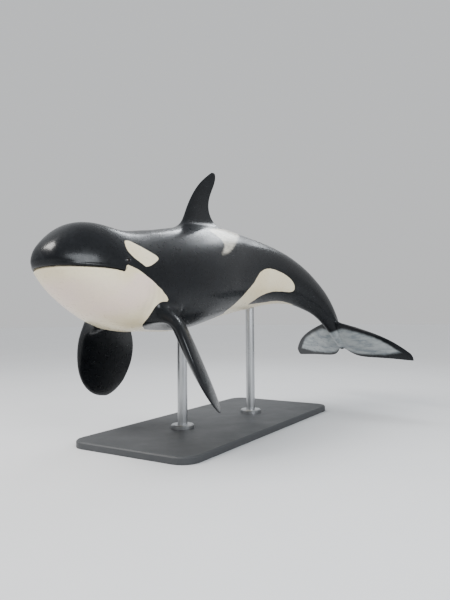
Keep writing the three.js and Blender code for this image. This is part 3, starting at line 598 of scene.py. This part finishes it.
# relief, metres along the outward normal
relief = np.zeros(len(rest))
# painted shade: how far each point lies in a crease, slit or lid recess; the skin material darkens the colour there and
# makes it rougher
recess_shade = np.zeros(len(rest))
# lips: a crease with a full upper lip and a thinner lower one
along = (s < 0.125) & (z < 0.03) & (on_body > 0.5)
fade = np.where(along, 1 - smooth(0.098, 0.108, s), 0)
relief += fade * (-0.013 * bell(mouth, 0, 0.0052) + 0.0050 * bell(mouth, 0.019, 0.013) + 0.0035 * bell(mouth, -0.018, 0.012))
recess_shade += fade * bell(mouth, 0, 0.0050)
# a short crease rises from the corner of the mouth
corner = distance_to_line(s, z, [(0.0995, -0.0096), (0.1035, -0.0070), (0.1060, -0.0030)]) * LENGTH
relief += np.where(along, -0.005 * bell(corner, 0, 0.005), 0)
recess_shade += np.where(along, 0.6 * bell(corner, 0, 0.005), 0)
# blowhole: a crescent slit whose horns point forward, in a shallow dip with a raised rim behind
bx, by = (s - BLOWHOLE["s"]) * LENGTH, y * LENGTH
on_top = np.where((z > 0.05) & (s < 0.25), 1.0, 0.0)
ring = np.hypot(bx + 0.018, by) - BLOWHOLE["radius"]
angle = np.arctan2(by, bx + 0.018)
arc = (1 - smooth(1.05, 1.45, np.abs(angle))) * on_top
relief += on_top * (-0.012 * bell(np.hypot(bx * 0.8, by), 0, 0.11))
relief += arc * (-0.012 * bell(ring, 0, 0.0048) + 0.004 * bell(ring, 0.016, 0.012) - 0.001 * bell(ring, -0.016, 0.012))
recess_shade += arc * bell(ring, 0, 0.0048)
# keel line openings
for a, b, w in SLITS:
    d = np.hypot(np.maximum(np.maximum(a - s, s - b), 0), y) * LENGTH
    low = np.where((z < -0.02) & (on_body > 0.5), 1.0, 0.0)
    relief += low * (-0.008 * bell(d, 0, w * 1.6) + 0.004 * bell(d, 0.014, 0.010))
    recess_shade += low * 0.8 * bell(d, 0, w * 1.5)
# eyes: lids that hold the ball, with a thick rim and a crease above and below
eu, ev = (s - EYE_S) * LENGTH, (z - EYE_Z) * LENGTH
far_out = np.hypot(eu, ev)
at_eye = np.where((np.abs(y) > 0.05) & (far_out < 0.11), 1.0, 0.0)
lid = np.hypot(eu / LID["long"], ev / (LID["high"] * (1 - 0.34 * np.clip(eu / LID["long"], -1, 1) ** 2)))
upward = ev / np.maximum(far_out, 1e-6)
ball = -EYE_AT["sunk"] + np.sqrt(np.clip((EYE_RADIUS + LID["thick"]) ** 2 - far_out**2, 0, None))
outside = 0.5 * (ball + np.sqrt(ball**2 + 0.0045**2)) + 0.0035 * (1 - smooth(0.022, 0.070, far_out))
outside += 0.0014 * bell(lid, 1.22, 0.20)
crease = bell(lid, 2.15, 0.34) * smooth(-0.1, 0.6, upward) + 0.6 * bell(lid, 2.0, 0.34) * smooth(-0.1, 0.6, -upward)
corner_line = bell(ev + 0.10 * eu, 0, 0.0022) * smooth(0.9, 1.1, np.abs(eu) / LID["long"]) * (1 - smooth(1.35, 1.9, np.abs(eu) / LID["long"]))
outside += -0.0020 * crease - 0.0009 * corner_line
inside = -0.014
blend = smooth(0.93, 1.03, lid)
relief += at_eye * (inside * (1 - blend) + outside * blend) * (1 - smooth(0.075, 0.105, far_out))
recess_shade += at_eye * (0.9 * bell(lid, 1.0, 0.13) + 0.45 * crease + 0.4 * corner_line)
# gentle unevenness of flesh and blubber
wave = (np.sin(s * 61 + 2.1 * np.sin(z * 34 + 1.3)) * np.sin(z * 47 + y * 23 + 0.7) * 0.5
        + np.sin(s * 33 - z * 41 + 1.9) * np.sin(s * 19 + y * 52) * 0.5)
relief += 0.0022 * wave * smooth(0.03, 0.12, s) * on_body
# slanting folds behind the head and over the flipper root
fold_s = s + 0.10 * (z + 0.02)
fold_s = fold_s + 0.0015 * np.sin(z * 130 + 40 * np.abs(y))
folds = (bell(fold_s, 0.1680, 0.0034) + 0.9 * bell(fold_s, 0.1790, 0.0032) + 0.7 * bell(fold_s, 0.1570, 0.0034)
         + 0.8 * bell(fold_s, 0.1895, 0.0030)) * (0.75 + 0.25 * np.sin(z * 61 + 1.0))
folds = folds * smooth(-0.012, -0.032, z) * smooth(-0.085, -0.050, z) * smooth(0.04, 0.06, np.abs(y)) * on_body
relief += -0.0060 * folds

straight = rest + normal * (relief / LENGTH)[:, None]
points = posed(straight)

mesh = bpy.data.meshes.new("orca_skin")
mesh.from_pydata(points.tolist(), [], [p[::-1] for p in polygons])
mesh.update()
mesh.polygons.foreach_set("use_smooth", np.ones(len(mesh.polygons), bool))


def store(name, values):
    a = mesh.attributes.new(name, "FLOAT", "POINT")
    a.data.foreach_set("value", np.asarray(values, np.float32))


# the pale underside of the flukes: one field from lobe to lobe, with dark edges and tips
span = np.clip((np.abs(y) - FLUKE["root"]) / (FLUKE["half"] - FLUKE["root"]), 0, 1)
front_edge, rear_edge = fluke_edges(span)
field = np.minimum(s - front_edge - 0.0100 - 0.014 * (1 - smooth(0.0, 0.16, span)), rear_edge - s - 0.0095) * LENGTH
field -= 0.10 * smooth(0.55, 1.0, span)
pale = np.where((s > 0.90) & (normal[:, 2] < -0.12), field, -0.05)
store("white", np.where((is_fluke > 0.02) | (s > 0.85), 0.1, np.where(is_dorsal > 0.05, 0.1, white + 0.3 * smooth(0.04, 0.22, is_flipper))))
store("saddle", saddle + 0.3 * (is_dorsal > 0.25))
store("pale", pale)
store("mouth", np.where(along, mouth, 0.2))
# painted shade of the creases and recesses, for the skin material
store("recess_shade", np.clip(recess_shade, 0, 1))
# the fold grooves, also used to paint shade into them
store("fold_depth_and_shade", folds)
store("blush", np.where(s < 0.25, smooth(0.045, 0.16, -mouth) * (1 - smooth(0.30, 0.48, -mouth)), 0))
rest_attr = mesh.attributes.new("rest", "FLOAT_VECTOR", "POINT")
rest_attr.data.foreach_set("vector", (rest * LENGTH).astype(np.float32).reshape(-1))
skin = bpy.data.objects.new("orca_skin", mesh)
bpy.context.scene.collection.objects.link(skin)


# ------------------------------------------------------------------ materials
class Nodes:
    """Short calls for a material's node tree."""

    def __init__(self, name):
        self.material = bpy.data.materials.new(name)
        self.material.use_nodes = True
        self.tree = self.material.node_tree
        self.tree.nodes.clear()
        self.out = self.tree.nodes.new("ShaderNodeOutputMaterial")
        self.bsdf = self.tree.nodes.new("ShaderNodeBsdfPrincipled")
        self.tree.links.new(self.bsdf.outputs[0], self.out.inputs[0])

    def link(self, value, socket):
        if isinstance(value, bpy.types.NodeSocket):
            self.tree.links.new(value, socket)
        else:
            socket.default_value = value

    def new(self, kind, **settings):
        n = self.tree.nodes.new(kind)
        for k, val in settings.items():
            setattr(n, k, val)
        return n

    def attribute(self, name, vector=False):
        n = self.new("ShaderNodeAttribute", attribute_name=name)
        return n.outputs["Vector"] if vector else n.outputs["Fac"]

    def math(self, op, a, b=0.0, c=0.0):
        n = self.new("ShaderNodeMath", operation=op)
        for k, val in enumerate((a, b, c)):
            self.link(val, n.inputs[k])
        return n.outputs[0]

    def step(self, value, lo, hi, out_lo=0.0, out_hi=1.0):
        n = self.new("ShaderNodeMapRange", interpolation_type="SMOOTHSTEP")
        for k, val in enumerate((value, lo, hi, out_lo, out_hi)):
            self.link(val, n.inputs[k])
        return n.outputs[0]

    def stretch(self, vector, scale, shift=(0, 0, 0)):
        n = self.new("ShaderNodeMapping")
        self.link(vector, n.inputs[0])
        n.inputs["Scale"].default_value = scale
        n.inputs["Location"].default_value = shift
        return n.outputs[0]

    def noise(self, vector, scale, detail=3.0, rough=0.5, distort=0.0):
        n = self.new("ShaderNodeTexNoise")
        self.link(vector, n.inputs["Vector"])
        n.inputs["Scale"].default_value = scale
        n.inputs["Detail"].default_value = detail
        n.inputs["Roughness"].default_value = rough
        n.inputs["Distortion"].default_value = distort
        return n.outputs[0]

    def mix(self, factor, a, b):
        n = self.new("ShaderNodeMix", data_type="RGBA")
        self.link(factor, n.inputs[0])
        for val, socket in ((a, n.inputs[6]), (b, n.inputs[7])):
            if isinstance(val, bpy.types.NodeSocket):
                self.tree.links.new(val, socket)
            else:
                socket.default_value = (*val, 1)
        return n.outputs[2]

    def bump(self, height, strength, distance, under=None):
        n = self.new("ShaderNodeBump")
        n.inputs["Strength"].default_value = strength
        n.inputs["Distance"].default_value = distance
        self.link(height, n.inputs["Height"])
        if under is not None:
            self.tree.links.new(under, n.inputs["Normal"])
        return n.outputs[0]

    def set(self, **values):
        for k, val in values.items():
            socket = self.bsdf.inputs[k.replace("_", " ").title() if k not in ("IOR",) else k]
            if isinstance(val, tuple) and len(val) == 3 and socket.type == "RGBA":
                val = (*val, 1)
            self.link(val, socket)


def skin_material():
    m = Nodes("orca_skin")
    at = m.attribute("rest", vector=True)
    wobble = m.math("SUBTRACT", m.noise(at, 7.0, 3.0, 0.55), 0.5)
    fine = m.math("SUBTRACT", m.noise(at, 60.0, 2.0, 0.5), 0.5)
    edge = m.math("ADD", m.math("MULTIPLY", wobble, 0.022), m.math("MULTIPLY", fine, 0.004))
    white = m.step(m.math("ADD", m.attribute("white"), edge), -0.0035, 0.0035, 1.0, 0.0)
    # saddle: soft grey, with streaks along the body
    streak = m.math("SUBTRACT", m.noise(m.stretch(at, (1.2, 9.0, 9.0)), 2.2, 4.0, 0.6), 0.5)
    saddle = m.step(m.math("ADD", m.attribute("saddle"), m.math("MULTIPLY", streak, 0.040)), -0.032, 0.014, 0.95, 0.0)
    # underside of the flukes
    pale = m.step(m.math("ADD", m.attribute("pale"), m.math("MULTIPLY", m.noise(at, 11.0, 4.0, 0.6), 0.030)), 0.004, 0.062, 0.0, 1.0)
    # scratches: thin pale lines, mostly lengthwise
    lines = m.noise(m.stretch(at, (0.30, 15.0, 15.0)), 9.0, 1.5, 0.45, 0.25)
    scratch = m.math("MULTIPLY", m.step(lines, 0.650, 0.690), m.step(m.noise(at, 1.3, 2.0), 0.50, 0.62))
    cloud = m.noise(at, 1.7, 4.0, 0.6)
    mottle = m.noise(at, 26.0, 3.0, 0.6)
    dark = m.mix(m.step(cloud, 0.3, 0.7), (0.0050, 0.0060, 0.0078), (0.0105, 0.0122, 0.0150))
    dark = m.mix(m.math("MULTIPLY", m.step(mottle, 0.45, 0.75), 0.35), dark, (0.018, 0.020, 0.023))
    dark = m.mix(m.math("MULTIPLY", scratch, 0.22), dark, (0.16, 0.17, 0.18))
    grey = m.mix(m.step(m.noise(m.stretch(at, (1.5, 7.0, 7.0)), 5.0, 4.0, 0.6), 0.3, 0.7), (0.385, 0.370, 0.326), (0.620, 0.586, 0.495))
    body = m.mix(saddle, dark, grey)
    cream = m.mix(m.step(cloud, 0.35, 0.72), (0.845, 0.765, 0.580), (0.795, 0.692, 0.485))
    blush = m.math("MULTIPLY", m.attribute("blush"), m.step(m.noise(at, 2.6, 3.0, 0.55), 0.25, 0.75, 0.45, 0.95))
    cream = m.mix(blush, cream, (0.815, 0.668, 0.600))
    # painted shade in the grooves of the throat folds
    cream = m.mix(m.math("MULTIPLY", m.attribute("fold_depth_and_shade"), 0.55), cream, (0.560, 0.470, 0.370))
    cream = m.mix(m.math("MULTIPLY", m.step(mottle, 0.5, 0.8), 0.20), cream, (0.600, 0.560, 0.500))
    cream = m.mix(m.math("MULTIPLY", scratch, 0.25), cream, (0.520, 0.470, 0.430))
    body = m.mix(white, body, cream)
    under = m.mix(m.step(m.noise(m.stretch(at, (6.0, 1.5, 6.0)), 3.0, 4.0, 0.6), 0.35, 0.7), (0.430, 0.455, 0.460), (0.240, 0.270, 0.290))
    body = m.mix(m.math("MULTIPLY", pale, 0.95), body, under)
    # painted shade: creases, slits and the lids' edges darkened to near black
    body = m.mix(m.math("MULTIPLY", m.attribute("recess_shade"), 0.88), body, (0.010, 0.008, 0.009))
    m.set(base_color=body)
    m.set(roughness=m.math("ADD", m.step(mottle, 0.2, 0.9, 0.25, 0.38), m.math("MULTIPLY", m.attribute("recess_shade"), 0.35)))
    m.bsdf.inputs["Coat Weight"].default_value = 0.22
    m.bsdf.inputs["Coat Roughness"].default_value = 0.16
    m.bsdf.inputs["Specular IOR Level"].default_value = 0.32
    grain = m.noise(at, 240.0, 2.0, 0.5)
    ripple = m.noise(m.stretch(at, (0.5, 2.5, 2.5)), 18.0, 2.0, 0.5)
    b1 = m.bump(m.attribute("fold_depth_and_shade"), 0.5, 0.004)
    b2 = m.bump(ripple, 0.12, 0.004, b1)
    b3 = m.bump(m.math("SUBTRACT", grain, m.math("MULTIPLY", scratch, 0.15)), 0.08, 0.0010, b2)
    m.tree.links.new(b3, m.bsdf.inputs["Normal"])
    return m.material


skin.data.materials.append(skin_material())
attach(skin, "root")
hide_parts("head", "lower_jaw", "trunk", "tail_stock", "dorsal_fin", "pectoral_fin_left", "pectoral_fin_right",
            "fluke_left", "fluke_right")


def eye_material():
    m = Nodes("orca_eye")
    co = m.new("ShaderNodeTexCoord").outputs["Object"]
    xyz = m.new("ShaderNodeSeparateXYZ")
    m.link(co, xyz.inputs[0])
    x, yy, zz = xyz.outputs
    # the gaze is along local X; distance from it, flattened so that the pupil lies wide
    across = m.math("DIVIDE", yy, EYE_RADIUS)
    height = m.math("DIVIDE", zz, EYE_RADIUS)
    wide = m.math("SQRT", m.math("ADD", m.math("POWER", m.math("MULTIPLY", across, 0.72), 2.0), m.math("POWER", height, 2.0)))
    full = m.math("SQRT", m.math("ADD", m.math("POWER", across, 2.0), m.math("POWER", height, 2.0)))
    spoke = m.new("ShaderNodeMath", operation="ARCTAN2")
    m.link(height, spoke.inputs[0])
    m.link(across, spoke.inputs[1])
    comb = m.new("ShaderNodeCombineXYZ")
    m.link(m.math("MULTIPLY", spoke.outputs[0], 6.0), comb.inputs[0])
    m.link(m.math("MULTIPLY", full, 2.0), comb.inputs[1])
    rays = m.noise(comb.outputs[0], 3.0, 4.0, 0.6)
    iris = m.mix(rays, (0.012, 0.0065, 0.0045), (0.050, 0.027, 0.015))
    iris = m.mix(m.step(full, 0.34, 0.46), iris, (0.006, 0.004, 0.004))
    white = m.mix(m.step(full, 0.46, 0.56), iris, (0.055, 0.036, 0.034))
    colour = m.mix(m.step(wide, 0.17, 0.21), (0.0015, 0.0018, 0.0030), white)
    m.set(base_color=colour, roughness=0.06)
    m.bsdf.inputs["Coat Weight"].default_value = 1.0
    m.bsdf.inputs["Coat Roughness"].default_value = 0.02
    return m.material


EYE_MAT = eye_material()
for name, side in (("eye_left", 1), ("eye_right", -1)):
    ball_mesh = bpy.data.meshes.new("orca_" + name)
    bm = bmesh.new()
    bmesh.ops.create_uvsphere(bm, u_segments=48, v_segments=32, radius=EYE_RADIUS)
    # the clear front of the eye stands out a little
    for w in bm.verts:
        forward = w.co.x / EYE_RADIUS
        w.co *= 1 + 0.035 * float(smooth(0.80, 0.98, forward))
    bm.to_mesh(ball_mesh)
    bm.free()
    ball_mesh.polygons.foreach_set("use_smooth", np.ones(len(ball_mesh.polygons), bool))
    outward = unit(posed([EYE_S, side * (EYE_Y + 0.01), EYE_Z])[0] - posed([EYE_S, side * EYE_Y, EYE_Z])[0])
    ahead = unit(posed([EYE_S - 0.01, side * EYE_Y, EYE_Z])[0] - posed([EYE_S, side * EYE_Y, EYE_Z])[0])
    gaze = unit(outward + ahead * 0.22)
    up = unit(posed([EYE_S, side * EYE_Y, EYE_Z + 0.01])[0] - posed([EYE_S, side * EYE_Y, EYE_Z])[0])
    left = unit(np.cross(up, gaze))
    up = np.cross(gaze, left)
    turn = Matrix([[gaze[0], left[0], up[0]], [gaze[1], left[1], up[1]], [gaze[2], left[2], up[2]]]).to_4x4()
    eye = bpy.data.objects.new("orca_" + name, ball_mesh)
    eye.matrix_world = Matrix.Translation(Vector(EYES[side])) @ turn
    bpy.context.scene.collection.objects.link(eye)
    eye.data.materials.append(EYE_MAT)
    bpy.context.view_layer.update()
    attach(eye, "root")
    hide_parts(name)


# ------------------------------------------------------------------ stand
def steel_material():
    m = Nodes("stand_steel")
    co = m.new("ShaderNodeTexCoord").outputs["Object"]
    brushed = m.noise(m.stretch(co, (4.0, 4.0, 160.0)), 5.0, 3.0, 0.6)
    smudge = m.noise(co, 4.0, 3.0, 0.5)
    m.set(base_color=m.mix(brushed, (0.46, 0.47, 0.48), (0.60, 0.61, 0.62)), metallic=1.0,
          roughness=m.step(m.math("ADD", m.math("MULTIPLY", brushed, 0.5), m.math("MULTIPLY", smudge, 0.5)), 0.3, 0.7, 0.26, 0.42))
    m.tree.links.new(m.bump(brushed, 0.12, 0.001), m.bsdf.inputs["Normal"])
    return m.material


def base_material():
    m = Nodes("stand_paint")
    co = m.new("ShaderNodeTexCoord").outputs["Object"]
    cloud, grain = m.noise(co, 2.5, 4.0, 0.6), m.noise(co, 320.0, 2.0, 0.5)
    m.set(base_color=m.mix(cloud, (0.050, 0.053, 0.057), (0.082, 0.085, 0.089)), roughness=m.step(cloud, 0.3, 0.7, 0.42, 0.55))
    m.tree.links.new(m.bump(grain, 0.10, 0.0006), m.bsdf.inputs["Normal"])
    return m.material


STEEL, PAINT = steel_material(), base_material()
for name in ("stand_base", "stand_collar_front", "stand_collar_rear", "stand_rod_front", "stand_rod_rear"):
    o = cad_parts[name]
    o.data.materials.clear()
    o.data.materials.append(PAINT if name == "stand_base" else STEEL)

# ------------------------------------------------------------------ stage
lo, hi = (np.array(p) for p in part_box("stand_base"))
middle = (lo + hi) / 2


def stage_floor():
    """A wide plain floor."""
    mesh = bpy.data.meshes.new("stage_floor")
    n, half = 24, 60.0
    verts = [(0.0, 0.0, 0.0)] + [(half * math.cos(2 * math.pi * k / n), half * math.sin(2 * math.pi * k / n), 0.0) for k in range(n)]
    mesh.from_pydata(verts, [], [(0, 1 + k, 1 + (k + 1) % n) for k in range(n)])
    mesh.update()
    m = Nodes("stage_pale")
    co = m.new("ShaderNodeTexCoord").outputs["Object"]
    m.set(base_color=m.mix(m.noise(co, 0.7, 4.0, 0.6), (0.560, 0.570, 0.585), (0.600, 0.608, 0.620)), roughness=0.85)
    mesh.materials.append(m.material)
    return bpy.data.objects.new("stage_floor", mesh)


floor = stage_floor()
bpy.context.scene.collection.objects.link(floor)
floor.location = (middle[0], middle[1], -0.002)

# ------------------------------------------------------------------ camera
CAM = dict(azimuth=31.41, rise=1.126, roll=-5.907, distance=6.132, right=0.605, up=-0.2341, focal_px=557.3)
az, el, ro = (math.radians(CAM[k]) for k in ("azimuth", "rise", "roll"))
back = np.array([math.sin(az) * math.cos(el), -math.cos(az) * math.cos(el), math.sin(el)])
right = np.array([math.cos(az), math.sin(az), 0.0])
cam_up = np.cross(back, right)
right, cam_up = right * math.cos(ro) + cam_up * math.sin(ro), cam_up * math.cos(ro) - right * math.sin(ro)
eye_point = back * CAM["distance"] + right * CAM["right"] + cam_up * CAM["up"]
back, right, cam_up = tilt(back), tilt(right), tilt(cam_up)
where = tilt(eye_point) + PLACE
camera_data = bpy.data.cameras.new("camera")
camera_data.lens = CAM["focal_px"] / 600 * 36
camera_data.sensor_width = 36
camera = bpy.data.objects.new("camera", camera_data)
camera.matrix_world = Matrix([[right[0], cam_up[0], back[0], where[0]], [right[1], cam_up[1], back[1], where[1]],
                              [right[2], cam_up[2], back[2], where[2]], [0, 0, 0, 1]])
bpy.context.scene.collection.objects.link(camera)
bpy.context.scene.camera = camera

# ------------------------------------------------------------------ light
SKY, HORIZON = 0.58, 0.965            # brightness overhead, and at the horizon as a part of that, where it meets the floor
target = Vector((middle[0], middle[1] - 0.6, 1.8))


def lamp(name, offset, size, power, colour=(1, 1, 1), size_y=None):
    data = bpy.data.lights.new(name, "AREA")
    data.shape = "RECTANGLE"
    data.size, data.size_y = size, size_y or size
    data.energy, data.color = power, colour
    o = bpy.data.objects.new(name, data)
    o.location = target + Vector(offset)
    o.rotation_euler = (target - o.location).to_track_quat("-Z", "Y").to_euler()
    bpy.context.scene.collection.objects.link(o)


lamp("key", (-3.4, -5.4, 6.2), 3.6, 620, (1.0, 0.975, 0.94))
lamp("fill", (6.8, -3.0, 2.6), 4.5, 300, (0.92, 0.96, 1.0), 3.0)
lamp("rim", (-1.5, 6.5, 5.0), 5.0, 160, (0.92, 0.96, 1.0), 1.6)
soft = bpy.data.lights.new("soft", "SUN")
soft.energy, soft.angle, soft.color = 1.7, math.radians(60), (1.0, 0.985, 0.96)
soft_lamp = bpy.data.objects.new("soft", soft)
soft_lamp.rotation_euler = Vector((3.4, 5.4, -6.8)).to_track_quat("-Z", "Y").to_euler()
soft_lamp.visible_glossy = False
bpy.context.scene.collection.objects.link(soft_lamp)
world = bpy.data.worlds.new("world")
world.use_nodes = True
sky = world.node_tree
direction = sky.nodes.new("ShaderNodeTexCoord").outputs["Generated"]
parts = sky.nodes.new("ShaderNodeSeparateXYZ")
sky.links.new(direction, parts.inputs[0])
height = sky.nodes.new("ShaderNodeMath")
height.operation = "MAXIMUM"
sky.links.new(parts.outputs[2], height.inputs[0])
height.inputs[1].default_value = 0.0
root = sky.nodes.new("ShaderNodeMath")
root.operation = "POWER"
sky.links.new(height.outputs[0], root.inputs[0])
root.inputs[1].default_value = 0.5
shade = sky.nodes.new("ShaderNodeMix")
shade.data_type = "RGBA"
sky.links.new(root.outputs[0], shade.inputs[0])
shade.inputs[6].default_value = (HORIZON * 0.985, HORIZON * 0.992, HORIZON, 1)
shade.inputs[7].default_value = (0.96, 0.98, 1.0, 1)
sky.links.new(shade.outputs[2], sky.nodes["Background"].inputs[0])
sky.nodes["Background"].inputs[1].default_value = SKY
bpy.context.scene.world = world
bpy.context.scene.view_settings.look = "AgX - Medium High Contrast"
